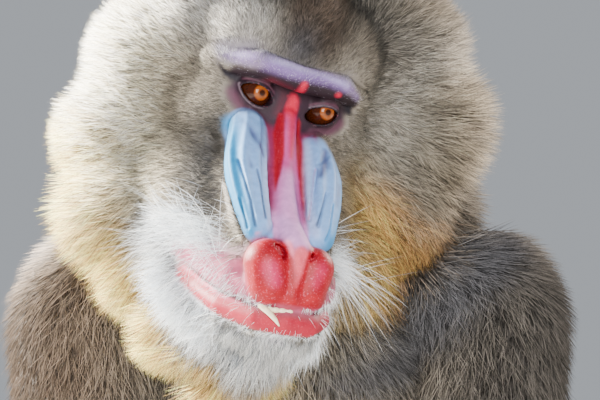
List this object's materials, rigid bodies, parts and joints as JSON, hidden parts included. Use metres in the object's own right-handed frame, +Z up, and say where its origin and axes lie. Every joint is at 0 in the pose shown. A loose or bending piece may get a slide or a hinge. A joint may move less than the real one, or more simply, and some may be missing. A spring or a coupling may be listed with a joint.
{
  "type": "mandrill",
  "caption": "Life-size still model of an adult male mandrill sitting with its hands on the ground, its head turned, with ruff, beard, ridged muzzle and stump tail.",
  "frame": {"origin": "on the ground, in the middle of the bounding box seen from above", "axes": "+Z up, the body faces -Y, the animal's left side is at +X; its head is turned 20 degrees to its left"},
  "size_m": [0.4888, 0.647, 0.7381],
  "materials": {
    "iris": "clear gloss over an orange iris",
    "ivory": "satin ivory",
    "face": "bare skin, red, blue and lilac, slightly oily",
    "beard": "long dry hair, white at the chin and yellow below",
    "ear_skin": "bare pinkish skin",
    "ruff": "long dry hair, banded olive and gold",
    "hand_skin": "dark bare skin",
    "dark_coat": "long dry dark hair",
    "belly_coat": "thin pale hair",
    "rump_skin": "bare lilac and pink skin",
    "olive_coat": "dry banded olive hair"
  },
  "bodies": {
    "root": {"belly": "belly_coat", "chest": "olive_coat", "ear_left": "ear_skin", "ear_right": "ear_skin", "eye_left": "iris", "eye_right": "iris", "foot_left": "hand_skin", "foot_right": "hand_skin", "forearm_left": "olive_coat", "forearm_right": "olive_coat", "hand_left": "hand_skin", "hand_right": "hand_skin", "head": "face", "jaw": "beard", "neck": "dark_coat", "pelvis": "rump_skin", "ruff_left": "ruff", "ruff_right": "ruff", "shank_left": "olive_coat", "shank_right": "olive_coat", "tail": "olive_coat", "teeth_front": "ivory", "thigh_left": "olive_coat", "thigh_right": "olive_coat", "tooth_canine_right": "ivory", "upper_arm_left": "olive_coat", "upper_arm_right": "olive_coat"}
  },
  "joints": []
}
